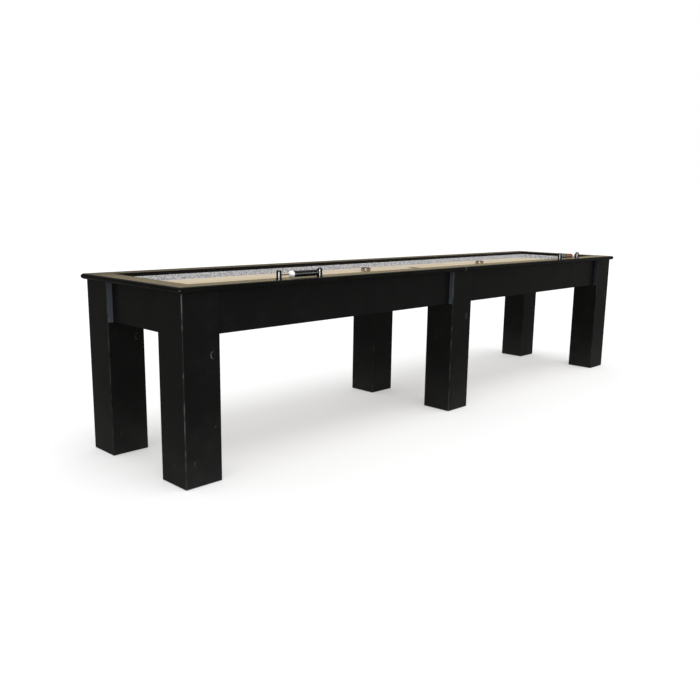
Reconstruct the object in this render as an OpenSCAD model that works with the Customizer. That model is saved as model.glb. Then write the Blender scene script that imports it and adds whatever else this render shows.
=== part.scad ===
// Twelve-foot shuffleboard table: a two-half cabinet on six box legs, with a
// capped rail, a carpeted gutter round a raised playfield, two bead scorers
// and two weights. X runs along the table, Y across it, Z up. The origin is on
// the floor under the middle of the table, and front is the -Y side.

/* [Table] */
// Overall length, over the rails
table_l = 3658; // [3400:1:3900]
// Overall width, over the rails
table_w = 790; // [770:1:830]
// Overall height, floor to rail top
table_h = 810; // [780:1:860]

/* [Rails] */
// Width of a rail, nose to inner edge
rail_w = 105; // [100:1:112]
// Thickness of a rail
rail_t = 25; // [22:1:30]
// How far the rail stands out past the legs
rail_overhang = 19; // [12:1:26]
// Rounding of the rail's inner top edge
rail_inner_r = 4; // [2:0.5:6]
// Gap at the joint between the two halves
seam = 0.8; // [0.2:0.1:2]

/* [Legs] */
// Side of a leg's square section
leg_size = 174; // [160:1:184]
// Thickness of the boards a leg is made of
leg_board = 27; // [22:1:30]
// Rounding of a leg's long edges
leg_edge_r = 3; // [1:0.5:6]
// Gap between the leg and the floor
leg_lift = 3; // [2:0.5:6]
// Height of the block in the foot of a leg
foot_block_h = 40; // [30:1:60]

/* [Cabinet] */
// Height of the aprons
apron_h = 177; // [170:1:190]
// Thickness of the aprons
apron_t = 25; // [20:1:27]
// Rounding of an apron's bottom edges
apron_edge_r = 2; // [1:0.5:4]
// Thickness of the gutter floor panel
floor_t = 12; // [9:1:14]
// Height of the bearers under the floor panel
bearer_h = 50; // [40:1:52]
// Width of a bearer
bearer_w = 40; // [30:1:50]

/* [Gutter] */
// Thickness of the gutter wall boards
wall_t = 12; // [9:1:14]
// Thickness of the carpet on the gutter walls
carpet_wall_t = 6; // [4:0.5:8]
// Thickness of the carpet on the gutter floor
carpet_floor_t = 4; // [3:0.5:6]
// How far the carpet's top edge sits below the rail top
carpet_drop = 18; // [8:1:22]

/* [Playfield] */
// Width of the playfield
field_w = 432; // [400:1:440]
// Thickness of the playfield
field_t = 45; // [38:1:48]
// How far the playfield lies below the rail top
field_drop = 36; // [34:1:40]
// Length of the gutter past each end of the playfield
end_gutter = 122; // [100:1:140]

/* [Scorers] */
// Distance between the posts of one scorer
post_gap = 240; // [236:1:260]
// Radius of a post
post_r = 12; // [9:0.5:13]
// Height of a post
post_h = 38; // [34:1:44]
// Height of the rod above the rail
rod_h = 17.5; // [17:0.5:20]
// Radius of the rod
rod_r = 3; // [2.5:0.5:4]
// Radius of a counting bead
bead_r = 14; // [12:0.5:14.5]
// Thickness of a counting bead
bead_t = 14; // [12:0.5:14]
// Length of the marker bead
marker_t = 26; // [20:1:27]
// Distance of the left scorer from the middle of the table
scorer_left_x = 1180; // [900:1:1300]
// Distance of the right scorer from the middle of the table
scorer_right_x = 1250; // [900:1:1300]

/* [Weights] */
// Radius of a weight
weight_r = 27; // [26:0.5:30]
// Height of a weight with its cap
weight_h = 20; // [18:0.5:24]

/* [Hidden] */

// Colours
lacquer = [0.05, 0.05, 0.055];
maple = [0.82, 0.70, 0.50];
raw_wood = [0.72, 0.60, 0.42];
carpet = [0.55, 0.55, 0.56];
steel = [0.62, 0.63, 0.65];
black_steel = [0.08, 0.08, 0.09];

$fn = 48;
over = 1;           // how far a cutting shape runs past the face it cuts
gap = 0.3;          // clearance between bodies that move apart
running = 0.06;     // radial clearance of a running fit
board_gap = 0.5;    // gap where two boards butt

// Plan sizes, as half lengths (x) and half widths (y)
nose_x = table_l / 2;
nose_y = table_w / 2;
leg_out_x = nose_x - rail_overhang;
leg_out_y = nose_y - rail_overhang;
leg_x = leg_out_x - leg_size / 2;
leg_y = leg_out_y - leg_size / 2;
apron_x = leg_out_x - leg_board;
apron_y = leg_out_y - leg_board;
inner_x = apron_x - apron_t;
inner_y = apron_y - apron_t;
rail_in_x = nose_x - rail_w;
rail_in_y = nose_y - rail_w;
wall_x = rail_in_x + wall_t;
wall_y = rail_in_y + wall_t;
field_x = rail_in_x - carpet_wall_t - end_gutter;
field_y = field_w / 2;

// Heights
rail_z = table_h - rail_t;
apron_z = rail_z - apron_h;
field_z = table_h - field_drop;
field_under_z = field_z - field_t;
riser_h = 29;
carpet_z = field_under_z - riser_h;
floor_z = carpet_z - carpet_floor_t - floor_t;
bearer_z = floor_z - bearer_h;
carpet_top_z = table_h - carpet_drop;

// Fasteners: M8 leg bolts and splice bolts, M10 levellers, M12 adjusters
bolt_r = 4;
bolt_hole_r = 4.3;
bolt_head_r = 6.5;
bolt_head_h = 8;
washer_r = 10;
washer_t = 1.6;
bolt_into_leg = 20;
bolt_low_z = apron_z + 20;
bolt_high_z = floor_z + floor_t + 34;
corner_bolt_x = leg_x - 23;
corner_bolt_y = leg_y - 23;
middle_bolt_x = 62;

stem_r = 5;
pad_r = 28;
pad_h = 6;
jam_h = 6;
insert_r = 8;
flange_r = 12;
flange_t = 1.5;
foot_block_z = pad_h + jam_h + gap + flange_t;

rod_m12_r = 6;
adjuster_rod_h = 112;
nut_across = 19;
nut_h = 10;

cross_xs = [-1560, -760, 760, 1560];
adjuster_xs = [-1120, -400, 400, 1120];
bearer_xs = [for (x = concat(cross_xs, adjuster_xs)) if (x > 0) x];
riser_xs = [-1480, -760, -90, 90, 760, 1480];
riser_w = 40;
riser_l = 400;
bar_w = 38;
bar_t = 12;

cleat_h = 30;
bracket_size = 38;
bracket_t = 3;
bracket_w = 34;

// Scorers: the beads rest against the inner post, and the marker leads them out
scorer_y = nose_y - rail_w / 2;
post_top_r = 6;
collar_r = 14;
collar_h = 2;
bead_edge_r = 5;
bead_clear = 0.25;
beads_per_group = 5;
group_l = beads_per_group * (bead_t + bead_clear);
inner_group_at = post_gap / 2 - post_r - gap;
outer_group_at = inner_group_at - group_l - gap;
marker_at = outer_group_at - group_l - gap;

// Weights: where each one stands on the playfield
weight_1_at = [-353, 31];
weight_2_at = [706, 0];
weight_cap_r = 21;
weight_cap_t = 3;
weight_edge_r = 3;
weight_recess_r = 18;
weight_recess_h = 2;

// ---- shared shapes ----

// A box between two opposite corners
module slab(lo, hi) {
    translate(lo) cube(hi - lo);
}

// Its children, mirrored to the side that sx and sy name
module on_side(sx, sy) {
    flip_x = sx < 0 ? 1 : 0;
    flip_y = sy < 0 ? 1 : 0;
    mirror([flip_x, 0, 0]) mirror([0, flip_y, 0]) children();
}

// A rectangle about the origin with its corners rounded
module rounded_rectangle(size, r) {
    square([size.x - 2 * r, size.y], center = true);
    square([size.x, size.y - 2 * r], center = true);
    for (sx = [-1, 1])
        for (sy = [-1, 1])
            translate([sx * (size.x / 2 - r), sy * (size.y / 2 - r)])
                circle(r);
}

// A bolt hole or shank along Y, from y0 to y1
module along_y(x, z, y0, y1, r) {
    translate([x, y0, z]) rotate([-90, 0, 0]) cylinder(r = r, h = y1 - y0);
}

// The same along X, from x0 to x1
module along_x(y, z, x0, x1, r) {
    translate([x0, y, z]) rotate([0, 90, 0]) cylinder(r = r, h = x1 - x0);
}

// ---- aprons ----

// Section of an apron, outer face at the origin, standing on the X axis
module apron_section() {
    difference() {
        translate([-apron_t, 0]) square([apron_t, apron_h]);
        translate([-apron_edge_r, -over]) square([apron_edge_r + over, apron_edge_r + over]);
    }
    translate([-apron_edge_r, apron_edge_r]) circle(apron_edge_r);
}

// Side apron of the rear right quarter, drilled for its leg bolts
module side_apron() {
    color(lacquer) difference() {
        translate([seam / 2, apron_y, apron_z])
            rotate([90, 0, 90])
                linear_extrude(apron_x - seam / 2)
                    apron_section();
        for (x = [middle_bolt_x, corner_bolt_x])
            for (z = [bolt_low_z, bolt_high_z])
                along_y(x, z, inner_y - over, apron_y + over, bolt_hole_r);
    }
}

// End apron of the right end, held between the two side aprons
module end_apron() {
    color(lacquer) difference() {
        translate([apron_x, inner_y, apron_z])
            rotate([90, 0, 0])
                linear_extrude(2 * inner_y)
                    apron_section();
        for (sy = [-1, 1])
            for (z = [bolt_low_z, bolt_high_z])
                along_x(sy * corner_bolt_y, z, inner_x - over, apron_x + over, bolt_hole_r);
    }
}

// ---- rails ----

// Section of a rail: a full round nose outside, a small round inside
module rail_section() {
    nose_r = rail_t / 2;
    translate([-nose_r, nose_r]) circle(nose_r);
    translate([-rail_w + rail_inner_r, 0]) square([rail_w - rail_inner_r - nose_r, rail_t]);
    translate([-rail_w, 0]) square([rail_w - nose_r, rail_t - rail_inner_r]);
    translate([-rail_w + rail_inner_r, rail_t - rail_inner_r]) circle(rail_inner_r);
}

// The space on the outer side of the right rear corner's mitre
module mitre_wedge() {
    translate([nose_x, nose_y, rail_z - over])
        rotate([0, 0, -45])
            translate([0, -nose_x, 0])
                cube([nose_x, 2 * nose_x, rail_t + 2 * over]);
}

// Side rail of the rear right quarter, mitred to the end rail
module side_rail() {
    color(lacquer) difference() {
        translate([seam / 2, nose_y, rail_z])
            rotate([90, 0, 90])
                linear_extrude(nose_x - seam / 2)
                    rail_section();
        mitre_wedge();
    }
}

// End rail of the right end, mitred at both ends
module end_rail() {
    color(lacquer) intersection() {
        translate([nose_x, nose_y, rail_z])
            rotate([90, 0, 0])
                linear_extrude(2 * nose_y)
                    rail_section();
        mitre_wedge();
        mirror([0, 1, 0]) mitre_wedge();
    }
}

// Strips in the top corners of the cabinet that the rails are screwed to
module rail_cleats() {
    low_z = rail_z - cleat_h;
    color(raw_wood) {
        for (sx = [-1, 1])
            for (sy = [-1, 1])
                on_side(sx, sy)
                    slab([seam / 2, wall_y, low_z], [inner_x, inner_y, rail_z]);
        for (sx = [-1, 1])
            on_side(sx, 1)
                slab([wall_x, -wall_y + board_gap, low_z], [inner_x, wall_y - board_gap, rail_z]);
    }
}

// ---- legs ----

// Box leg centred at (x, y). Its outer boards run up past the aprons to the
// rail, and its inner boards stop where the cabinet sits on them.
module box_leg(x, y) {
    hollow = leg_size - 2 * leg_board;
    color(lacquer) difference() {
        translate([x, y, leg_lift])
            linear_extrude(rail_z - leg_lift)
                rounded_rectangle([leg_size, leg_size], leg_edge_r);
        translate([x - hollow / 2, y - hollow / 2, 0])
            cube([hollow, hollow, apron_z]);
        slab([-apron_x, -apron_y, apron_z], [apron_x, apron_y, rail_z + over]);
        leg_bolt_shanks(bolt_r);
    }
}

// Where a leg stands, from its side numbers: sx -1, 0 or 1 and sy -1 or 1
module at_leg(sx, sy) {
    translate([sx * leg_x, sy * leg_y, 0]) children();
}

module at_every_leg() {
    for (sx = [-1, 0, 1])
        for (sy = [-1, 1])
            at_leg(sx, sy) children();
}

// Its children at every leg bolt, turned so that +Z points out through the
// apron and the origin lies on the apron's inner face
module at_every_leg_bolt() {
    for (z = [bolt_low_z, bolt_high_z])
        for (sx = [-1, 1])
            for (sy = [-1, 1]) {
                for (x = [middle_bolt_x, corner_bolt_x])
                    translate([sx * x, sy * inner_y, z])
                        rotate([-90 * sy, 0, 0])
                            children();
                translate([sx * inner_x, sy * corner_bolt_y, z])
                    rotate([0, 90 * sx, 0])
                        children();
            }
}

module leg_bolt_shanks(r) {
    at_every_leg_bolt() cylinder(r = r, h = apron_t + bolt_into_leg);
}

// Socket-head bolts that hold the legs to the aprons
module leg_bolts() {
    color(black_steel) at_every_leg_bolt() {
        difference() {
            translate([0, 0, -washer_t - bolt_head_h]) cylinder(r = bolt_head_r, h = bolt_head_h);
            translate([0, 0, -washer_t - bolt_head_h - over])
                cylinder(r = 3.5, h = bolt_head_h / 2 + over, $fn = 6);
        }
        translate([0, 0, -washer_t]) cylinder(r = bolt_r, h = washer_t + apron_t + bolt_into_leg);
    }
}

module leg_washers() {
    color(steel) at_every_leg_bolt()
        translate([0, 0, -washer_t])
            difference() {
                cylinder(r = washer_r, h = washer_t);
                translate([0, 0, -over]) cylinder(r = bolt_hole_r, h = washer_t + 2 * over);
            }
}

// Blocks glued into the feet of the legs
module foot_blocks() {
    side = leg_size - 2 * leg_board;
    color(raw_wood) at_every_leg()
        difference() {
            translate([-side / 2, -side / 2, foot_block_z]) cube([side, side, foot_block_h]);
            translate([0, 0, foot_block_z - over]) cylinder(r = insert_r, h = foot_block_h + 2 * over);
        }
}

// Flanged threaded inserts in the foot blocks
module leveller_inserts() {
    color(steel) at_every_leg()
        difference() {
            union() {
                translate([0, 0, foot_block_z]) cylinder(r = insert_r, h = foot_block_h);
                translate([0, 0, foot_block_z - flange_t]) cylinder(r = flange_r, h = flange_t);
            }
            translate([0, 0, foot_block_z - flange_t - over])
                cylinder(r = stem_r + running, h = foot_block_h + flange_t + 2 * over);
        }
}

// Screw-in levelling foot: a pad, a jam nut's hexagon and a threaded stem
module leveller(sx, sy) {
    chamfer = 1.5;
    stem_h = foot_block_z + foot_block_h + 12;
    color(black_steel) at_leg(sx, sy) {
        rotate_extrude()
            polygon([[0, 0], [pad_r, 0], [pad_r, pad_h - 2 * chamfer],
                     [pad_r - 2 * chamfer, pad_h], [0, pad_h]]);
        translate([0, 0, pad_h]) cylinder(r = 9.5, h = jam_h, $fn = 6);
        cylinder(r = stem_r, h = stem_h);
    }
}

// ---- cabinet floor ----

// Right half of the plywood panel under the gutter and the playfield
module floor_panel() {
    color(raw_wood) difference() {
        slab([seam / 2, -inner_y, floor_z], [inner_x, inner_y, floor_z + floor_t]);
        for (x = adjuster_xs)
            translate([x, 0, floor_z - over]) cylinder(r = 8, h = floor_t + 2 * over);
    }
}

module bearer(x) {
    slab([x - bearer_w / 2, -inner_y, bearer_z], [x + bearer_w / 2, inner_y, floor_z]);
}

module cross_bearers() {
    color(raw_wood) for (x = cross_xs) bearer(x);
}

// Bearers that the adjuster rods pass through
module adjuster_bearers() {
    color(raw_wood) for (x = adjuster_xs)
        difference() {
            bearer(x);
            translate([x, 0, bearer_z - over]) cylinder(r = rod_m12_r + 1, h = bearer_h + 2 * over);
        }
}

splice_ys = [-240, -80, 80, 240];
splice_z = bearer_z + bearer_h / 2;

// Bearer at the end of the right half, drilled for the splice bolts
module splice_bearer() {
    color(raw_wood) difference() {
        slab([seam / 2, -inner_y, bearer_z], [bearer_w, inner_y, floor_z]);
        for (y = splice_ys)
            along_x(y, splice_z, -over, bearer_w + over, bolt_hole_r);
    }
}

// Hexagon bolts that pull the two halves of the table together
module splice_bolts() {
    color(steel) for (y = splice_ys) {
        along_x(y, splice_z, -bearer_w - 12, bearer_w, bolt_r);
        translate([bearer_w, y, splice_z])
            rotate([0, 90, 0])
                cylinder(r = 7.5, h = 5.5, $fn = 6);
        translate([-bearer_w - 6.5, y, splice_z])
            rotate([0, 90, 0])
                cylinder(r = 7.5, h = 6.5, $fn = 6);
    }
}

// Steel angle in the right rear corner between a bearer's side and the apron
module bracket() {
    slab([0, -bracket_t, -bracket_w], [bracket_size, 0, 0]);
    slab([0, -bracket_size, -bracket_w], [bracket_t, 0, 0]);
}

module bearer_brackets() {
    color(steel)
        for (sx = [-1, 1])
            for (sy = [-1, 1])
                on_side(sx, sy) {
                    for (x = bearer_xs)
                        translate([x - bearer_w / 2, inner_y, floor_z])
                            mirror([1, 0, 0]) bracket();
                    translate([bearer_w, inner_y, floor_z]) bracket();
                }
}

// ---- gutter ----

// Boards that stand round the gutter, under the rail's inner edge
module gutter_walls() {
    low_z = floor_z + floor_t;
    color(raw_wood) {
        for (sx = [-1, 1])
            for (sy = [-1, 1])
                on_side(sx, sy)
                    slab([seam / 2, rail_in_y, low_z], [wall_x, wall_y, rail_z]);
        for (sx = [-1, 1])
            on_side(sx, 1)
                slab([rail_in_x, -rail_in_y + board_gap, low_z],
                     [wall_x, rail_in_y - board_gap, rail_z]);
    }
}

// Right half of the carpet that lines the gutter's floor and walls
module gutter_carpet() {
    low_z = floor_z + floor_t;
    color(carpet) difference() {
        slab([seam / 2, -rail_in_y, low_z], [rail_in_x, rail_in_y, carpet_top_z]);
        slab([-over, -rail_in_y + carpet_wall_t, carpet_z],
             [rail_in_x - carpet_wall_t, rail_in_y - carpet_wall_t, carpet_top_z + over]);
        for (x = adjuster_xs)
            translate([x, 0, low_z - over]) cylinder(r = 8, h = carpet_floor_t + 2 * over);
    }
}

// ---- playfield ----

// Butcher-block slab with its long top edges eased
module playfield() {
    ease = 3;
    color(maple)
        translate([-field_x, 0, field_under_z])
            rotate([90, 0, 90])
                linear_extrude(2 * field_x) {
                    translate([-field_y, 0]) square([field_w, field_t - ease]);
                    translate([-field_y + ease, 0]) square([field_w - 2 * ease, field_t]);
                    for (side = [-1, 1])
                        translate([side * (field_y - ease), field_t - ease]) circle(ease);
                }
}

// Hardwood bars that carry the playfield above the gutter floor
module playfield_risers() {
    color(raw_wood) for (x = riser_xs)
        slab([x - riser_w / 2, -riser_l / 2, carpet_z], [x + riser_w / 2, riser_l / 2, field_under_z]);
}

// ---- climatic adjusters ----

// Steel bars screwed under the playfield, each with a blind threaded hole
module adjuster_bars() {
    color(steel) for (x = adjuster_xs)
        difference() {
            slab([x - bar_w / 2, -riser_l / 2, field_under_z - bar_t],
                 [x + bar_w / 2, riser_l / 2, field_under_z]);
            translate([x, 0, field_under_z - bar_t - over]) cylinder(r = rod_m12_r, h = 8 + over);
        }
}

// Threaded rods from the bars down through the floor and the bearers
module adjuster_rods() {
    top_z = field_under_z - bar_t + 8;
    color(steel) for (x = adjuster_xs)
        translate([x, 0, top_z - adjuster_rod_h]) cylinder(r = rod_m12_r, h = adjuster_rod_h);
}

// Flanged nut under a bearer; turning it pulls the playfield down
module adjuster_nut(i) {
    flange_h = 2.5;
    color(steel) translate([adjuster_xs[i], 0, bearer_z - gap])
        difference() {
            union() {
                translate([0, 0, -flange_h]) cylinder(r = nut_across * 0.75, h = flange_h);
                translate([0, 0, -nut_h]) cylinder(d = nut_across / cos(30), h = nut_h, $fn = 6);
            }
            translate([0, 0, -nut_h - over]) cylinder(r = rod_m12_r + running, h = nut_h + 2 * over);
        }
}

// ---- scorers ----

// Its children at each scorer, +X pointing to the middle of the table
module at_left_scorer() {
    translate([-scorer_left_x, -scorer_y, table_h]) children();
}

module at_right_scorer() {
    translate([scorer_right_x, -scorer_y, table_h]) mirror([1, 0, 0]) children();
}

module at_both_scorers() {
    at_left_scorer() children();
    at_right_scorer() children();
}

module scorer_post() {
    rotate_extrude() {
        square([post_r, post_h - post_top_r]);
        square([post_r - post_top_r, post_h]);
        translate([post_r - post_top_r, post_h - post_top_r])
            intersection() {
                circle(post_top_r);
                square(post_top_r + over);
            }
        square([collar_r, collar_h]);
    }
}

module scorer_posts() {
    color(black_steel) at_both_scorers()
        difference() {
            for (side = [-1, 1])
                translate([side * post_gap / 2, 0, 0]) scorer_post();
            along_x(0, rod_h, -post_gap / 2, post_gap / 2, rod_r);
        }
}

module scorer_rods() {
    color(steel) at_both_scorers()
        along_x(0, rod_h, -post_gap / 2, post_gap / 2, rod_r);
}

// A round bead on the rod, its middle at x
module bead(x, r, t, edge_r) {
    translate([x - t / 2, 0, rod_h])
        rotate([0, 90, 0])
            rotate_extrude()
                difference() {
                    union() {
                        translate([0, edge_r]) square([r, t - 2 * edge_r]);
                        square([r - edge_r, t]);
                        for (y = [edge_r, t - edge_r])
                            translate([r - edge_r, y]) circle(edge_r);
                    }
                    translate([-r, -over]) square([r + rod_r + running, t + 2 * over]);
                }
}

// Five counting beads that end at at_x, on the side of the middle of the table
module bead_group(at_x) {
    for (i = [0 : beads_per_group - 1])
        bead(at_x - (i + 0.5) * (bead_t + bead_clear), bead_r, bead_t, bead_edge_r);
}

module marker_bead() {
    bead(marker_at - marker_t / 2, bead_r + 0.5, marker_t, bead_r - 3);
}

// ---- weights ----

// Steel weight with a hollow ring of a base, its seat for the cap on top
module weight_body(at) {
    body_h = weight_h - weight_cap_t / 2;
    color(steel) translate([at.x, at.y, field_z + gap])
        rotate_extrude()
            difference() {
                union() {
                    translate([0, weight_edge_r]) square([weight_r, body_h - 2 * weight_edge_r]);
                    square([weight_r - weight_edge_r, body_h]);
                    for (y = [weight_edge_r, body_h - weight_edge_r])
                        translate([weight_r - weight_edge_r, y])
                            intersection() {
                                circle(weight_edge_r);
                                translate([0, -weight_edge_r]) square([weight_edge_r + over, 2 * weight_edge_r]);
                            }
                }
                translate([-over, -over]) square([weight_recess_r + over, weight_recess_h + over]);
                translate([-over, body_h - weight_cap_t / 2]) square([weight_cap_r + over, weight_cap_t]);
            }
}

// Plastic cap let into the top of a weight
module weight_cap(at, tone) {
    body_h = weight_h - weight_cap_t / 2;
    dome = 1;
    color(tone) translate([at.x, at.y, field_z + gap + body_h - weight_cap_t / 2])
        rotate_extrude()
            polygon([[0, 0], [weight_cap_r, 0], [weight_cap_r, weight_cap_t - dome],
                     [weight_cap_r - 3 * dome, weight_cap_t], [0, weight_cap_t]]);
}

// ---- nodes ----

on_side(-1, -1) side_apron();  // side_apron_front_left
on_side(1, -1) side_apron();  // side_apron_front_right
on_side(-1, 1) side_apron();  // side_apron_rear_left
on_side(1, 1) side_apron();  // side_apron_rear_right
on_side(-1, 1) end_apron();  // end_apron_left
on_side(1, 1) end_apron();  // end_apron_right
on_side(-1, -1) side_rail();  // rail_front_left
on_side(1, -1) side_rail();  // rail_front_right
on_side(-1, 1) side_rail();  // rail_rear_left
on_side(1, 1) side_rail();  // rail_rear_right
on_side(-1, 1) end_rail();  // rail_end_left
on_side(1, 1) end_rail();  // rail_end_right
box_leg(-leg_x, -leg_y);  // leg_front_left
box_leg(0, -leg_y);  // leg_front_middle
box_leg(leg_x, -leg_y);  // leg_front_right
box_leg(-leg_x, leg_y);  // leg_rear_left
box_leg(0, leg_y);  // leg_rear_middle
box_leg(leg_x, leg_y);  // leg_rear_right
foot_blocks();
leveller_inserts();
leg_bolts();
leg_washers();
leveller(-1, -1);  // leveller_front_left
leveller(0, -1);  // leveller_front_middle
leveller(1, -1);  // leveller_front_right
leveller(-1, 1);  // leveller_rear_left
leveller(0, 1);  // leveller_rear_middle
leveller(1, 1);  // leveller_rear_right
on_side(-1, 1) floor_panel();  // floor_panel_left
on_side(1, 1) floor_panel();  // floor_panel_right
cross_bearers();
adjuster_bearers();
on_side(-1, 1) splice_bearer();  // splice_bearer_left
on_side(1, 1) splice_bearer();  // splice_bearer_right
splice_bolts();
bearer_brackets();
rail_cleats();
gutter_walls();
on_side(-1, 1) gutter_carpet();  // gutter_carpet_left
on_side(1, 1) gutter_carpet();  // gutter_carpet_right
playfield();
playfield_risers();
adjuster_bars();
adjuster_rods();
adjuster_nut(0);  // adjuster_nut_1
adjuster_nut(1);  // adjuster_nut_2
adjuster_nut(2);  // adjuster_nut_3
adjuster_nut(3);  // adjuster_nut_4
scorer_posts();
scorer_rods();
color("white") at_left_scorer() marker_bead();  // scorer_left_marker
color([0.1, 0.1, 0.12]) at_left_scorer() bead_group(outer_group_at);  // scorer_left_outer_beads
color([0.1, 0.1, 0.12]) at_left_scorer() bead_group(inner_group_at);  // scorer_left_inner_beads
color("white") at_right_scorer() marker_bead();  // scorer_right_marker
color([0.7, 0.18, 0.1]) at_right_scorer() bead_group(outer_group_at);  // scorer_right_outer_beads
color([0.35, 0.35, 0.36]) at_right_scorer() bead_group(inner_group_at);  // scorer_right_inner_beads
weight_body(weight_1_at);  // weight_1_body
weight_cap(weight_1_at, [0.15, 0.1, 0.1]);  // weight_1_cap
weight_body(weight_2_at);  // weight_2_body
weight_cap(weight_2_at, [0.15, 0.1, 0.1]);  // weight_2_cap
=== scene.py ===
import math

import bmesh
import bpy
from mathutils import Matrix, Vector


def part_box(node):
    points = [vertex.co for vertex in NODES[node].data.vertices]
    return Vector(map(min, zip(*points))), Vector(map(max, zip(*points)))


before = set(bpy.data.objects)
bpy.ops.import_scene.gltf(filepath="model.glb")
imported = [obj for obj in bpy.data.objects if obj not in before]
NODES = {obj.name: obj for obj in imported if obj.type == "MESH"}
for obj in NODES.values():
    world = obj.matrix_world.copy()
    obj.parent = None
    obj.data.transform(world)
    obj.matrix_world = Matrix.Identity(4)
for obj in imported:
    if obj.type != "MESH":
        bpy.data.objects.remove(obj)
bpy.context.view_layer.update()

SCENE = bpy.context.scene

# ---------------------------------------------------------------- measures

LEG_LOW, LEG_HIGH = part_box("leg_front_right")
APRON_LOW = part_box("side_apron_front_right")[0]
RAIL_LOW, RAIL_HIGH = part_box("rail_front_right")
FIELD_LOW, FIELD_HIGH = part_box("playfield")
RAIL_END_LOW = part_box("rail_end_left")[0]

LEG_X = (LEG_LOW.x + LEG_HIGH.x) / 2
LEG_Y = -(LEG_LOW.y + LEG_HIGH.y) / 2
LEG_HALF = (LEG_HIGH.x - LEG_LOW.x) / 2
STAVE_COUNT = 12
STAVE_WIDTH = (FIELD_HIGH.y - FIELD_LOW.y) / STAVE_COUNT
CORNER_INSET = Vector((0.003, 0.003, 0.012))
RAIL_CORNER = tuple(Vector((-RAIL_END_LOW.x, -RAIL_LOW.y, RAIL_HIGH.z)) - CORNER_INSET)
# Radius of the painted glint at each corner of the rail top.
CORNER_GLINT_RADIUS = 0.0036
ARRIS_OUTER = 0.0022
ARRIS_INNER = 0.0045
FACE_SKIN = 0.002
UPPER_NICK = (0.056, 0.532)
UPPER_NICK_SIZE = (0.0165, 0.0045)
LOWER_NICK = (-0.034, 0.099)
LOWER_NICK_SIZE = (0.014, 0.0035)
NICK_BLUR = 0.0012
INLAY_AT = (0.078, 0.041)
BAR_STEP = 0.021
BAR_HALF = (0.0085, 0.030)
BAR_BLUR = 0.0005
STAVE_LENGTH = 0.86
STAVE_GAP = 0.0003
PLY_LAYERS = 2618.0

# ---------------------------------------------------------------- colours

SATIN_LEVEL = 0.14
BLACK_LACQUER = (0.0038, 0.0039, 0.0038)
BLACK_CLOUD = (0.0065, 0.0065, 0.0063)
# Lighter lacquer towards the foot of each leg.
FOOT_PALE = (0.017, 0.017, 0.0165)
# Painted sheen: a pale bluish tint for the leg board edges above the aprons.
STEP_SHEEN_LACQUER = (0.060, 0.070, 0.082)
# Lighter lacquer for edge wear and specks, and also for the painted highlights and glints on leg
# arrises, nick rims and the rail joint.
WEAR_AND_GLINT_LACQUER = (0.085, 0.088, 0.085)
# Painted glint: the pale spot at each corner of the rail top.
CORNER_GLINT_PALE = (0.55, 0.56, 0.56)
RAIL_BLACK = (0.0022, 0.0022, 0.0021)
RAIL_CLOUD = (0.0038, 0.0038, 0.0036)
MAPLE_PALE = (0.69, 0.585, 0.42)
MAPLE_DEEP = (0.57, 0.465, 0.31)
MAPLE_LINE = (0.36, 0.24, 0.13)
INLAY_RED = (0.032, 0.014, 0.011)
CARPET_DARK = (0.10, 0.10, 0.11)
CARPET_MID = (0.44, 0.44, 0.455)
CARPET_LIGHT = (0.63, 0.63, 0.655)
CARPET_PALE = (0.78, 0.78, 0.80)
WEIGHT_STEEL = (0.40, 0.35, 0.29)
WEIGHT_DULL = (0.31, 0.27, 0.22)
SAWN_PALE = (0.52, 0.37, 0.22)
SAWN_DEEP = (0.36, 0.23, 0.12)
PLY_PALE = (0.46, 0.37, 0.25)
PLY_DEEP = (0.33, 0.245, 0.15)


# ---------------------------------------------------------------- node building

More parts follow.
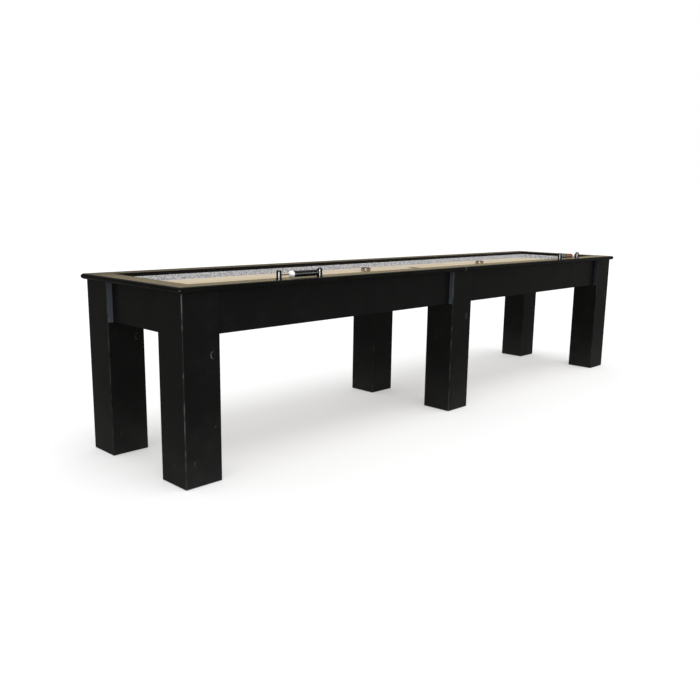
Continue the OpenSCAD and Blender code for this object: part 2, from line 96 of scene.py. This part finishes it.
class Recipe:
    """One material, with short calls for the nodes that make it up."""

    def __init__(self, name):
        self.material = bpy.data.materials.new(name)
        self.material.use_nodes = True
        self.tree = self.material.node_tree
        self.tree.nodes.clear()
        self.shader = self.tree.nodes.new("ShaderNodeBsdfPrincipled")
        output = self.tree.nodes.new("ShaderNodeOutputMaterial")
        self.tree.links.new(self.shader.outputs["BSDF"], output.inputs["Surface"])
        self.place = self.tree.nodes.new("ShaderNodeTexCoord").outputs["Object"]

    def feed(self, socket, value):
        """A link, a number or a colour into a socket."""
        if isinstance(value, bpy.types.NodeSocket):
            self.tree.links.new(value, socket)
        elif isinstance(value, tuple) and len(value) == 3 and socket.type == "RGBA":
            socket.default_value = (*value, 1.0)
        else:
            socket.default_value = value

    def set(self, name, value):
        self.feed(self.shader.inputs[name], value)

    def math(self, operation, a, b=0.0, c=0.0, clamp=False):
        node = self.tree.nodes.new("ShaderNodeMath")
        node.operation = operation
        node.use_clamp = clamp
        for socket, value in zip(node.inputs, (a, b, c)):
            self.feed(socket, value)
        return node.outputs[0]

    def vector(self, operation, a, b=(0.0, 0.0, 0.0), output=0):
        node = self.tree.nodes.new("ShaderNodeVectorMath")
        node.operation = operation
        self.feed(node.inputs[0], a)
        self.feed(node.inputs[1], b)
        return node.outputs[output]

    def axes(self, vector):
        node = self.tree.nodes.new("ShaderNodeSeparateXYZ")
        self.feed(node.inputs[0], vector)
        return node.outputs

    def joined(self, x, y, z):
        node = self.tree.nodes.new("ShaderNodeCombineXYZ")
        for socket, value in zip(node.inputs, (x, y, z)):
            self.feed(socket, value)
        return node.outputs[0]

    def normal(self):
        return self.tree.nodes.new("ShaderNodeNewGeometry").outputs["Normal"]

    def scaled(self, factors):
        return self.vector("MULTIPLY", self.place, factors)

    def noise(self, vector, scale, detail=3.0, rough=0.55):
        node = self.tree.nodes.new("ShaderNodeTexNoise")
        self.feed(node.inputs["Vector"], vector)
        node.inputs["Scale"].default_value = scale
        node.inputs["Detail"].default_value = detail
        node.inputs["Roughness"].default_value = rough
        return node.outputs["Fac"]

    def cells(self, vector, scale, feature="F1"):
        node = self.tree.nodes.new("ShaderNodeTexVoronoi")
        node.feature = feature
        self.feed(node.inputs["Vector"], vector)
        node.inputs["Scale"].default_value = scale
        return node.outputs["Distance"]

    def span(self, value, low, high, to_low=0.0, to_high=1.0, smooth=True):
        """The value taken from low..high to to_low..to_high and held there."""
        node = self.tree.nodes.new("ShaderNodeMapRange")
        node.interpolation_type = "SMOOTHSTEP" if smooth else "LINEAR"
        for socket, number in zip(node.inputs, (value, low, high, to_low, to_high)):
            self.feed(socket, number)
        return node.outputs["Result"]

    def blend(self, factor, a, b):
        """Colour a where the factor is 0 and b where it is 1."""
        node = self.tree.nodes.new("ShaderNodeMix")
        node.data_type = "RGBA"
        self.feed(node.inputs["Factor"], factor)
        colours = [s for s in node.inputs if s.type == "RGBA"]
        self.feed(colours[0], a)
        self.feed(colours[1], b)
        return next(s for s in node.outputs if s.type == "RGBA")

    def bump(self, height, distance, strength=1.0):
        node = self.tree.nodes.new("ShaderNodeBump")
        node.inputs["Strength"].default_value = strength
        node.inputs["Distance"].default_value = distance
        self.feed(node.inputs["Height"], height)
        self.set("Normal", node.outputs["Normal"])

    def either(self, a, b):
        return self.math("MAXIMUM", a, b)

    def both(self, a, b):
        return self.math("MULTIPLY", a, b)


# ---------------------------------------------------------------- lacquer

def lacquer_base(recipe):
    """Cloudy tone, broken roughness and a fine orange peel, as sprayed lacquer has."""
    cloud = recipe.noise(recipe.place, 9.0, 4.0)
    fine = recipe.noise(recipe.place, 70.0, 3.0)
    grain = recipe.noise(recipe.scaled((24.0, 24.0, 3.0)), 6.0, 3.0)
    tone = recipe.both(recipe.span(cloud, 0.42, 0.66), recipe.span(fine, 0.3, 0.75))
    height = recipe.math("MULTIPLY_ADD", grain, 0.5, recipe.both(fine, 0.5))
    return tone, cloud, height


def lacquer(name):
    """Satin black lacquer of the aprons."""
    recipe = Recipe(name)
    tone, cloud, height = lacquer_base(recipe)
    recipe.set("Base Color", recipe.blend(tone, BLACK_LACQUER, BLACK_CLOUD))
    recipe.set("Roughness", recipe.span(cloud, 0.35, 0.7, 0.30, 0.44))
    recipe.set("Specular IOR Level", SATIN_LEVEL)
    recipe.bump(height, 0.0004, 0.5)
    return recipe.material


def leg_places(recipe):
    """Position in the plane of a leg's face: across it to the viewer's right, and up."""
    x, y, z = recipe.axes(recipe.place)
    nearest = recipe.math("ROUND", recipe.math("DIVIDE", x, LEG_X))
    local_x = recipe.math("SUBTRACT", x, recipe.both(nearest, LEG_X))
    side = recipe.math("SIGN", y)
    local_y = recipe.math("SUBTRACT", y, recipe.both(side, LEG_Y))
    right = recipe.vector("CROSS_PRODUCT", (0.0, 0.0, 1.0), recipe.normal())
    across = recipe.vector("DOT_PRODUCT", recipe.joined(local_x, local_y, 0.0), right, 1)
    return local_x, local_y, across, z


def crescent(recipe, across, up, centre, size):
    """A nick in the lacquer with a painted glint on its left rim: a circle less the same circle
    moved to the right.
    """
    radius, thickness = size
    place = recipe.joined(across, up, 0.0)
    whole = recipe.vector("DISTANCE", place, (centre[0], centre[1], 0.0), 1)
    moved = recipe.vector("DISTANCE", place, (centre[0] + thickness, centre[1], 0.0), 1)
    inside = recipe.span(whole, radius - NICK_BLUR, radius, 1.0, 0.0)
    outside = recipe.span(moved, radius - NICK_BLUR, radius)
    return recipe.both(inside, outside)


def leg_lacquer(name):
    """The legs: the same lacquer with edge wear, specks, a dent and painted glint at each nick, a
    painted highlight on each near arris, a painted bluish sheen on the board edges above the aprons,
    and lighter towards the floor.
    """
    recipe = Recipe(name)
    tone, cloud, height = lacquer_base(recipe)
    local_x, local_y, across, up = leg_places(recipe)
    colour = recipe.blend(tone, BLACK_LACQUER, BLACK_CLOUD)

    facing_x = recipe.axes(recipe.normal())[0]
    x, y, z = recipe.axes(recipe.place)
    on_side_face = recipe.math("GREATER_THAN", recipe.math("ABSOLUTE", y), -LEG_LOW.y - FACE_SKIN)
    on_end_face = recipe.math("GREATER_THAN", recipe.math("ABSOLUTE", x), LEG_HIGH.x - FACE_SKIN)
    outer = recipe.either(on_side_face, on_end_face)
    above = recipe.math("GREATER_THAN", z, APRON_LOW.z)
    step = recipe.both(above, recipe.math("SUBTRACT", 1.0, outer))
    # Painted sheen: the board edges above the aprons are tinted pale blue, stronger at the left end
    # than the right.
    painted_step_sheen = recipe.both(step, recipe.span(x, -1.2, 1.4, 1.0, 0.3))
    colour = recipe.blend(painted_step_sheen, colour, STEP_SHEEN_LACQUER)
    # Lighter towards the floor, a little uneven.
    low = recipe.span(z, 0.0, 0.42, 1.0, 0.0, False)
    low_pale = recipe.both(recipe.both(low, low), recipe.span(cloud, 0.3, 0.7, 0.6, 1.0))
    colour = recipe.blend(low_pale, colour, FOOT_PALE)

    reach = recipe.math(
        "ADD", recipe.math("ABSOLUTE", local_x), recipe.math("ABSOLUTE", local_y)
    )
    arris = recipe.span(reach, 2 * LEG_HALF - ARRIS_INNER, 2 * LEG_HALF - ARRIS_OUTER)
    broken = recipe.span(recipe.noise(recipe.place, 14.0, 3.0), 0.42, 0.62, 0.15, 1.0)
    near_x = recipe.math("LESS_THAN", local_x, 0.0)
    near_y = recipe.math("LESS_THAN", local_y, 0.0)
    front = recipe.math("LESS_THAN", y, 0.0)
    # Painted highlight: the near arris of each leg is made lighter, more on the left and front legs
    # and higher up.
    painted_arris_highlight = recipe.both(recipe.both(near_x, near_y), recipe.span(x, -1.3, 1.3, 0.9, 0.2))
    painted_arris_highlight = recipe.both(painted_arris_highlight, recipe.span(z, 0.1, 0.6, 0.5, 1.0))
    painted_arris_highlight = recipe.both(painted_arris_highlight, recipe.span(front, 0.0, 1.0, 0.35, 1.0))
    below = recipe.math("SUBTRACT", 1.0, above)
    # Edge colour: real wear on every arris below the aprons, and the painted highlight on the near
    # arris.
    wear_and_highlight = recipe.both(recipe.both(arris, broken), recipe.either(painted_arris_highlight, recipe.both(below, 0.2)))

    upper = crescent(recipe, across, up, UPPER_NICK, UPPER_NICK_SIZE)
    lower = crescent(recipe, across, up, LOWER_NICK, LOWER_NICK_SIZE)
    speck_cells = recipe.cells(recipe.place, 26.0)
    speck_field = recipe.span(recipe.noise(recipe.place, 5.0), 0.58, 0.64)
    speck = recipe.both(recipe.span(speck_cells, 0.05, 0.09, 1.0, 0.0), speck_field)
    # Painted glints: lighter crescents on the rims of the nicks, faint on faces turned to the left
    # end, stronger on the front legs.
    nicks_and_glints = recipe.either(upper, recipe.both(lower, 0.5))
    nicks_and_glints = recipe.both(nicks_and_glints, recipe.span(recipe.noise(recipe.place, 160.0, 2.0), 0.36, 0.52))
    nicks_and_glints = recipe.both(nicks_and_glints, recipe.span(facing_x, -0.8, -0.2, 0.1, 1.0))
    nicks_and_glints = recipe.both(nicks_and_glints, recipe.span(front, 0.0, 1.0, 0.45, 1.0))
    # marks holds the painted nick glints and the real specks; both also dent the lacquer.
    marks = recipe.either(nicks_and_glints, recipe.both(speck, 0.5))

    colour = recipe.blend(recipe.either(wear_and_highlight, marks), colour, WEAR_AND_GLINT_LACQUER)
    recipe.set("Base Color", colour)
    plain_rough = recipe.span(cloud, 0.35, 0.7, 0.30, 0.44)
    recipe.set("Roughness", recipe.math("MULTIPLY_ADD", step, 0.15, plain_rough))
    recipe.set("Specular IOR Level", SATIN_LEVEL)
    dented = recipe.math("SUBTRACT", height, recipe.both(marks, 1.5))
    recipe.bump(dented, 0.0004, 0.5)
    return recipe.material


def rail_lacquer(name):
    """Black lacquer with a polished top, a satin nose, a painted highlight along the joint between
    halves and a small painted glint at each corner.
    """
    recipe = Recipe(name)
    cloud = recipe.noise(recipe.place, 7.0, 3.0)
    fine = recipe.noise(recipe.place, 60.0, 2.0)
    x = recipe.axes(recipe.place)[0]
    up = recipe.axes(recipe.normal())[2]
    top = recipe.span(up, 0.90, 0.99)
    # Painted highlight: a light line along the joint between the rail halves.
    joint = recipe.span(recipe.math("ABSOLUTE", x), 0.0008, 0.0030, 1.0, 0.0)
    colour = recipe.blend(recipe.span(cloud, 0.4, 0.7), RAIL_BLACK, RAIL_CLOUD)
    colour = recipe.blend(joint, colour, WEAR_AND_GLINT_LACQUER)
    folded = recipe.vector("ABSOLUTE", recipe.place)
    # Painted glint: a small pale spot at each corner of the rail top.
    from_corner = recipe.vector("DISTANCE", folded, RAIL_CORNER, 1)
    corner_glint = recipe.span(from_corner, CORNER_GLINT_RADIUS * 0.6, CORNER_GLINT_RADIUS, 1.0, 0.0)
    recipe.set("Base Color", recipe.blend(corner_glint, colour, CORNER_GLINT_PALE))
    recipe.set("Roughness", recipe.span(fine, 0.3, 0.7, 0.22, 0.34))
    recipe.set("Specular IOR Level", SATIN_LEVEL)
    recipe.set("Coat Weight", recipe.span(top, 0.0, 1.0, 0.0, 0.62, False))
    recipe.shader.inputs["Coat Roughness"].default_value = 0.05
    recipe.shader.inputs["Coat IOR"].default_value = 1.5
    recipe.bump(fine, 0.0003, 0.3)
    return recipe.material


# ---------------------------------------------------------------- wood

def inlay_shape(recipe, x, y):
    """Three plain bars side by side across the field, near its middle."""
    from_x = recipe.math("SUBTRACT", x, INLAY_AT[0])
    from_y = recipe.math("SUBTRACT", y, INLAY_AT[1])
    from_bar = recipe.math("PINGPONG", from_x, BAR_STEP / 2)
    sides = (
        (from_bar, BAR_HALF[0]),
        (recipe.math("ABSOLUTE", from_x), 1.4 * BAR_STEP),
        (recipe.math("ABSOLUTE", from_y), BAR_HALF[1]),
    )
    inside = 1.0
    for distance, limit in sides:
        within = recipe.span(distance, limit - BAR_BLUR, limit + BAR_BLUR, 1.0, 0.0)
        inside = recipe.both(inside, within)
    return inside


def maple(name):
    """Maple staves that run the length of the field under a thin coat, with one plain inlay."""
    recipe = Recipe(name)
    x, y = recipe.axes(recipe.place)[:2]
    bricks = recipe.tree.nodes.new("ShaderNodeTexBrick")
    recipe.feed(bricks.inputs["Vector"], recipe.place)
    recipe.feed(bricks.inputs["Color1"], (0.0, 0.0, 0.0))
    recipe.feed(bricks.inputs["Color2"], (1.0, 1.0, 1.0))
    recipe.feed(bricks.inputs["Mortar"], (0.5, 0.5, 0.5))
    bricks.offset = 0.37
    for socket, value in (
        ("Scale", 1.0), ("Mortar Size", STAVE_GAP), ("Mortar Smooth", 0.4),
        ("Brick Width", STAVE_LENGTH), ("Row Height", STAVE_WIDTH),
    ):
        bricks.inputs[socket].default_value = value
    stave = recipe.axes(bricks.outputs["Color"])[0]
    gap = bricks.outputs["Fac"]

    shifted = recipe.vector("ADD", recipe.scaled((1.0, 14.0, 14.0)),
                            recipe.joined(recipe.both(stave, 9.0), 0.0, 0.0))
    figure = recipe.noise(shifted, 3.0, 5.0, 0.6)
    pores = recipe.noise(recipe.scaled((8.0, 220.0, 220.0)), 4.0, 2.0)
    tone = recipe.math("MULTIPLY_ADD", stave, 0.45, recipe.both(figure, 0.6))
    colour = recipe.blend(recipe.span(tone, 0.25, 0.85), MAPLE_PALE, MAPLE_DEEP)
    streak = recipe.both(recipe.span(pores, 0.56, 0.74), 0.35)
    colour = recipe.blend(streak, colour, MAPLE_LINE)
    colour = recipe.blend(recipe.both(gap, 0.6), colour, MAPLE_LINE)

    inlay = inlay_shape(recipe, x, y)
    recipe.set("Base Color", recipe.blend(inlay, colour, INLAY_RED))
    recipe.set("Roughness", recipe.either(recipe.span(figure, 0.3, 0.7, 0.34, 0.42), inlay))
    recipe.set("Coat Weight", recipe.span(inlay, 0.0, 1.0, 0.6, 0.0))
    recipe.shader.inputs["Specular IOR Level"].default_value = 0.25
    recipe.shader.inputs["Coat Roughness"].default_value = 0.14
    recipe.bump(recipe.math("MULTIPLY_ADD", gap, -1.0, recipe.both(figure, 0.1)), 0.0002, 0.4)
    return recipe.material


def sawn_wood(name, stretch):
    """Unfinished softwood; stretch is large across the grain and small along it."""
    recipe = Recipe(name)
    figure = recipe.noise(recipe.scaled(stretch), 2.4, 5.0, 0.6)
    fibre = recipe.noise(recipe.scaled(stretch), 22.0, 3.0)
    rings = recipe.math("SINE", recipe.both(figure, 62.0))
    ring = recipe.span(rings, -1.0, 1.0)
    tone = recipe.math("MULTIPLY_ADD", ring, 0.24, recipe.both(fibre, 0.75))
    recipe.set("Base Color", recipe.blend(recipe.span(tone, 0.2, 0.85), SAWN_PALE, SAWN_DEEP))
    recipe.set("Roughness", recipe.span(fibre, 0.3, 0.7, 0.62, 0.80))
    recipe.set("Specular IOR Level", 0.3)
    recipe.bump(fibre, 0.0006, 0.6)
    return recipe.material


def plywood(name):
    """Plywood: rotary-cut face veneer, and layers in turn along its edges."""
    recipe = Recipe(name)
    z = recipe.axes(recipe.place)[2]
    facing = recipe.math("ABSOLUTE", recipe.axes(recipe.normal())[2])
    flat = recipe.math("GREATER_THAN", facing, 0.7)
    figure = recipe.noise(recipe.scaled((1.0, 7.0, 7.0)), 3.0, 5.0, 0.65)
    waves = recipe.math("SINE", recipe.both(figure, 44.0))
    fibre = recipe.noise(recipe.scaled((6.0, 60.0, 60.0)), 6.0, 3.0)
    layer = recipe.span(recipe.math("SINE", recipe.both(z, PLY_LAYERS)), -0.4, 0.4)
    ripple = recipe.span(waves, -1.0, 1.0)
    face = recipe.math("MULTIPLY_ADD", ripple, 0.22, recipe.both(fibre, 0.72))
    edge = recipe.math("MULTIPLY_ADD", layer, 0.7, recipe.both(fibre, 0.3))
    tone = recipe.math(
        "ADD", recipe.both(face, flat), recipe.both(edge, recipe.math("SUBTRACT", 1.0, flat))
    )
    recipe.set("Base Color", recipe.blend(recipe.span(tone, 0.15, 0.85), PLY_PALE, PLY_DEEP))
    recipe.set("Roughness", recipe.span(fibre, 0.3, 0.7, 0.55, 0.72))
    recipe.set("Specular IOR Level", 0.3)
    recipe.bump(fibre, 0.0004, 0.5)
    return recipe.material


# ---------------------------------------------------------------- carpet

def carpet(name):
    """Speckled grey needle-felt: pale and dark tufts over a mottled ground."""
    recipe = Recipe(name)
    mottle = recipe.noise(recipe.place, 60.0, 3.0, 0.7)
    tufts = recipe.cells(recipe.place, 240.0)
    fibre = recipe.noise(recipe.place, 420.0, 2.0)
    flecks = recipe.noise(recipe.place, 130.0, 2.0, 0.8)
    ground = recipe.blend(recipe.span(mottle, 0.40, 0.60), CARPET_MID, CARPET_LIGHT)
    dark = recipe.both(recipe.span(flecks, 0.53, 0.60), 0.75)
    pale = recipe.both(recipe.span(flecks, 0.38, 0.45, 1.0, 0.0), 0.7)
    colour = recipe.blend(dark, ground, CARPET_DARK)
    colour = recipe.blend(pale, colour, CARPET_PALE)
    recipe.set("Base Color", colour)
    recipe.set("Roughness", 0.95)
    recipe.set("Specular IOR Level", 0.15)
    recipe.shader.inputs["Sheen Weight"].default_value = 0.25
    recipe.shader.inputs["Sheen Roughness"].default_value = 0.5
    height = recipe.math("MULTIPLY_ADD", tufts, -0.8, recipe.both(fibre, 0.6))
    recipe.bump(height, 0.0022, 0.9)
    return recipe.material


# ---------------------------------------------------------------- metal and plastic

def metal(name, colour, dull, rough, patch=12.0):
    """Bare or plated metal, a little uneven in tone and polish."""
    recipe = Recipe(name)
    cloud = recipe.noise(recipe.place, patch, 4.0)
    fine = recipe.noise(recipe.place, 320.0, 2.0)
    recipe.set("Base Color", recipe.blend(recipe.span(cloud, 0.35, 0.7), colour, dull))
    recipe.set("Metallic", 1.0)
    tone = recipe.math("MULTIPLY_ADD", cloud, 0.5, recipe.both(fine, 0.5))
    recipe.set("Roughness", recipe.span(tone, 0.3, 0.7, rough, rough + 0.12))
    recipe.bump(fine, 0.00005, 0.4)
    return recipe.material


def turned_chrome(name):
    """Turned weight body: fine rings broken by small scratches, in dulled steel."""
    recipe = Recipe(name)
    rings = recipe.noise(recipe.scaled((0.5, 0.5, 400.0)), 9.0, 2.0)
    rub = recipe.noise(recipe.place, 45.0, 4.0)
    streaks = recipe.noise(recipe.scaled((300.0, 40.0, 40.0)), 2.5, 2.0)
    scratch = recipe.span(streaks, 0.62, 0.70)
    recipe.set("Base Color", recipe.blend(recipe.span(rub, 0.4, 0.7), WEIGHT_STEEL, WEIGHT_DULL))
    recipe.set("Metallic", 1.0)
    tone = recipe.math("MULTIPLY_ADD", scratch, 0.5, rings)
    recipe.set("Roughness", recipe.span(tone, 0.3, 1.2, 0.24, 0.36))
    recipe.bump(recipe.either(rings, scratch), 0.00004, 0.35)
    return recipe.material


def enamel(name, colour, dull, rough, shine=0.5):
    """Gloss paint or moulded plastic with slight handling marks."""
    recipe = Recipe(name)
    rub = recipe.noise(recipe.place, 60.0, 4.0)
    fine = recipe.noise(recipe.place, 300.0, 2.0)
    recipe.set("Base Color", recipe.blend(recipe.span(rub, 0.4, 0.7), colour, dull))
    recipe.set("Roughness", recipe.span(rub, 0.3, 0.7, rough, rough + 0.12))
    recipe.set("Specular IOR Level", shine)
    recipe.bump(fine, 0.00005, 0.3)
    return recipe.material


# ---------------------------------------------------------------- which node has which look

def starting(*prefixes):
    return [name for name in NODES if name.startswith(prefixes)]


def ending(suffix):
    return [name for name in NODES if name.endswith(suffix)]


def wear(material, names):
    """Gives the material to each node, in every slot that the node has."""
    for name in names:
        slots = NODES[name].material_slots
        for slot in slots:
            slot.material = material
        if not slots:
            NODES[name].data.materials.append(material)


def dress():
    wear(lacquer("cabinet_lacquer"), starting("side_apron", "end_apron"))
    wear(leg_lacquer("leg_lacquer"), starting("leg_front", "leg_rear"))
    wear(rail_lacquer("rail_lacquer"), starting("rail_front", "rail_rear", "rail_end"))
    wear(maple("maple_staves"), ["playfield"])
    wear(carpet("speckled_carpet"), starting("gutter_carpet"))
    wear(sawn_wood("sawn_across", (12.0, 1.0, 12.0)),
         ["cross_bearers", "adjuster_bearers", "playfield_risers"] + starting("splice_bearer"))
    wear(sawn_wood("sawn_along", (1.0, 12.0, 12.0)), ["rail_cleats"])
    wear(sawn_wood("sawn_end_grain", (12.0, 12.0, 1.0)), ["foot_blocks"])
    wear(plywood("plywood_sheet"), starting("floor_panel") + ["gutter_walls"])
    wear(metal("zinc_plate", (0.60, 0.61, 0.63), (0.42, 0.43, 0.46), 0.28),
         ["leveller_inserts", "leg_washers", "splice_bolts", "bearer_brackets",
          "adjuster_bars", "adjuster_rods"] + starting("adjuster_nut"))
    wear(metal("black_oxide", (0.032, 0.032, 0.034), (0.055, 0.052, 0.050), 0.38),
         ["leg_bolts"] + starting("leveller_front", "leveller_rear"))
    wear(metal("polished_rod", (0.80, 0.79, 0.76), (0.68, 0.67, 0.64), 0.14), ["scorer_rods"])
    wear(enamel("black_enamel", (0.004, 0.004, 0.005), (0.007, 0.007, 0.008), 0.07, 1.0),
         ["scorer_posts"])
    wear(enamel("white_bead", (0.86, 0.86, 0.85), (0.78, 0.77, 0.74), 0.22), ending("_marker"))
    wear(enamel("black_bead", (0.005, 0.005, 0.006), (0.010, 0.010, 0.011), 0.08, 0.8),
         ["scorer_left_outer_beads", "scorer_left_inner_beads"])
    wear(enamel("red_bead", (0.21, 0.078, 0.052), (0.17, 0.062, 0.042), 0.14),
         ["scorer_right_outer_beads"])
    wear(enamel("grey_bead", (0.075, 0.075, 0.072), (0.10, 0.10, 0.095), 0.14),
         ["scorer_right_inner_beads"])
    wear(turned_chrome("turned_chrome"), ["weight_1_body", "weight_2_body"])
    wear(enamel("weight_cap", (0.030, 0.020, 0.014), (0.045, 0.030, 0.022), 0.30, 0.05),
         ["weight_1_cap", "weight_2_cap"])


# ---------------------------------------------------------------- stage

FLOOR_SIZE = 60.0
CAMERA_PLACE = Vector((-3.3326, -2.7336, 1.1007))
CAMERA_TURN = math.radians(46.008)
CAMERA_TILT = math.radians(-10.778)
CAMERA_ROLL = math.radians(0.906)
CAMERA_LENS = 37.54
SENSOR = 36.0
FLOOR_PALE = (0.41, 0.41, 0.41)
FLOOR_GLOW = 0.395
FLOOR_DIM = (0.10, 0.095, 0.09)
FILL_STRENGTH = 1.25
OVERHEAD_STRENGTH = 1.6
ROOM_DADO = (0.050, 0.040, 0.026)
ROOM_NEAR = (0.07, 0.067, 0.064)
ROOM_FRONT = (0.34, 0.33, 0.32)
ROOM_UPPER = (0.22, 0.21, 0.20)
ROOM_CEILING = (0.45, 0.45, 0.45)
ROOM_WALL = (0.46, 0.38, 0.24)
DADO_TOP = (0.0955, 0.0985)
WALL_EDGE = (0.12, 0.28)
UPPER_EDGE = (0.30, 0.75)
FRONT_EDGE = (0.15, 0.35)
NEAR_TO_FAR = (-0.25, 0.0)
LEFT_TO_RIGHT = (-0.30, 0.0)
GLEAM_PLACE = Vector((-5.4, -4.7, 1.5))
GLEAM_TARGET = Vector((-0.6, -0.3, 0.9))
GLEAM_SIZE = (2.6, 2.9)
GLEAM_POWER = 480.0
OVERHEAD_SPREAD = math.radians(40.0)
OVERHEAD_WAY = (0.0, 0.24, -1.0)


def floor_material():
    """Pale and matt; polished surfaces show it as dim as the room they stand in."""
    recipe = Recipe("pale_floor")
    path = recipe.tree.nodes.new("ShaderNodeLightPath")
    unseen = path.outputs["Is Glossy Ray"]
    recipe.set("Base Color", recipe.blend(unseen, FLOOR_PALE, FLOOR_DIM))
    recipe.set("Emission Color", (1.0, 1.0, 1.0))
    recipe.set("Emission Strength", recipe.span(unseen, 0.0, 1.0, FLOOR_GLOW, 0.0))
    recipe.set("Roughness", 0.9)
    recipe.set("Specular IOR Level", 0.0)
    return recipe.material


def make_floor():
    """A wide pale sheet that the levelling feet stand on."""
    half = FLOOR_SIZE / 2
    mesh = bpy.data.meshes.new("floor")
    shape = bmesh.new()
    corners = [shape.verts.new((x, y, 0.0)) for x, y in
               ((-half, -half), (half, -half), (half, half), (-half, half))]
    shape.faces.new(corners)
    shape.to_mesh(mesh)
    shape.free()
    floor = bpy.data.objects.new("floor", mesh)
    SCENE.collection.objects.link(floor)
    mesh.materials.append(floor_material())


def background(tree, colour, strength):
    node = tree.nodes.new("ShaderNodeBackground")
    if isinstance(colour, tuple):
        node.inputs["Color"].default_value = (*colour, 1.0)
    else:
        tree.links.new(colour, node.inputs["Color"])
    node.inputs["Strength"].default_value = strength
    return node.outputs[0]


def world_math(tree, operation, *values):
    node = tree.nodes.new("ShaderNodeMath")
    node.operation = operation
    for socket, value in zip(node.inputs, values):
        if isinstance(value, float):
            socket.default_value = value
        else:
            tree.links.new(value, socket)
    return node.outputs[0]


def world_step(tree, value, edges):
    """0 below the first edge, 1 above the second, and smooth between them."""
    node = tree.nodes.new("ShaderNodeMapRange")
    node.interpolation_type = "SMOOTHSTEP"
    tree.links.new(value, node.inputs[0])
    node.inputs[1].default_value, node.inputs[2].default_value = edges
    return node.outputs[0]


def world_mix(tree, factor, a, b):
    """Colour a where the factor is 0 and b where it is 1."""
    node = tree.nodes.new("ShaderNodeMix")
    node.data_type = "RGBA"
    tree.links.new(factor, node.inputs["Factor"])
    for socket, value in zip([s for s in node.inputs if s.type == "RGBA"], (a, b)):
        if isinstance(value, tuple):
            socket.default_value = (*value, 1.0)
        else:
            tree.links.new(value, socket)
    return next(s for s in node.outputs if s.type == "RGBA")


def room_colours(tree):
    """A dim warm room round the table: a dark dado, a plain tan wall and a grey ceiling."""
    direction = tree.nodes.new("ShaderNodeTexCoord").outputs["Generated"]
    split = tree.nodes.new("ShaderNodeSeparateXYZ")
    tree.links.new(direction, split.inputs[0])
    x, y, z = split.outputs
    away = world_math(tree, "MAXIMUM", world_math(tree, "ABSOLUTE", y), 0.001)
    slope = world_math(tree, "DIVIDE", z, away)
    wall = world_mix(tree, world_step(tree, slope, DADO_TOP), ROOM_DADO, ROOM_WALL)
    ceiling = world_mix(tree, world_step(tree, z, UPPER_EDGE), ROOM_UPPER, ROOM_CEILING)
    far_side = world_mix(tree, world_step(tree, z, WALL_EDGE), wall, ceiling)
    near_side = world_mix(tree, world_step(tree, z, FRONT_EDGE), ROOM_FRONT, ROOM_NEAR)
    right_side = world_mix(tree, world_step(tree, y, NEAR_TO_FAR), near_side, far_side)
    return world_mix(tree, world_step(tree, x, LEFT_TO_RIGHT), ROOM_NEAR, right_side)


def make_world():
    """White behind the object and as fill light; reflections show the room instead."""
    world = bpy.data.worlds.new("room")
    SCENE.world = world
    world.use_nodes = True
    tree = world.node_tree
    tree.nodes.clear()
    path = tree.nodes.new("ShaderNodeLightPath")
    shown = background(tree, (1.0, 1.0, 1.0), FILL_STRENGTH)
    for ray, other in (("Is Glossy Ray", background(tree, room_colours(tree), 1.0)),
                       ("Is Camera Ray", background(tree, (1.0, 1.0, 1.0), 1.0))):
        mix = tree.nodes.new("ShaderNodeMixShader")
        tree.links.new(path.outputs[ray], mix.inputs[0])
        tree.links.new(shown, mix.inputs[1])
        tree.links.new(other, mix.inputs[2])
        shown = mix.outputs[0]
    output = tree.nodes.new("ShaderNodeOutputWorld")
    tree.links.new(shown, output.inputs["Surface"])


def make_lights():
    """One very soft light from above and a little in front, and one for gleams on small fittings."""
    data = bpy.data.lights.new("overhead", "SUN")
    data.energy = OVERHEAD_STRENGTH
    data.angle = OVERHEAD_SPREAD
    overhead = bpy.data.objects.new("overhead", data)
    overhead.rotation_euler = Vector(OVERHEAD_WAY).to_track_quat("-Z", "Y").to_euler()
    overhead.visible_glossy = False
    SCENE.collection.objects.link(overhead)

    data = bpy.data.lights.new("gleam", "AREA")
    data.shape = "RECTANGLE"
    data.size, data.size_y = GLEAM_SIZE
    data.energy = GLEAM_POWER
    gleam = bpy.data.objects.new("gleam", data)
    gleam.location = GLEAM_PLACE
    gleam.rotation_euler = (GLEAM_TARGET - GLEAM_PLACE).to_track_quat("-Z", "Y").to_euler()
    gleam.visible_diffuse = False
    gleam.visible_camera = False
    small_fittings = bpy.data.collections.new("small_fittings")
    for name in starting("scorer", "weight"):
        small_fittings.objects.link(NODES[name])
    gleam.light_linking.receiver_collection = small_fittings
    SCENE.collection.objects.link(gleam)


def make_camera():
    """At the photograph's viewing angle: placed, turned, tilted and rolled."""
    data = bpy.data.cameras.new("camera")
    data.sensor_width = SENSOR
    data.lens = CAMERA_LENS
    data.clip_end = 200.0
    forward = Vector((math.sin(CAMERA_TURN) * math.cos(CAMERA_TILT),
                      math.cos(CAMERA_TURN) * math.cos(CAMERA_TILT), math.sin(CAMERA_TILT)))
    level_right = Vector((math.cos(CAMERA_TURN), -math.sin(CAMERA_TURN), 0.0))
    level_up = level_right.cross(forward)
    right = level_right * math.cos(CAMERA_ROLL) + level_up * math.sin(CAMERA_ROLL)
    up = level_up * math.cos(CAMERA_ROLL) - level_right * math.sin(CAMERA_ROLL)
    turn = Matrix((right, up, -forward)).transposed().to_4x4()
    camera = bpy.data.objects.new("camera", data)
    camera.matrix_world = Matrix.Translation(CAMERA_PLACE) @ turn
    SCENE.collection.objects.link(camera)
    SCENE.camera = camera


# ---------------------------------------------------------------- the scene

make_camera()
dress()
make_floor()
make_world()
make_lights()
SCENE.view_settings.view_transform = "Standard"
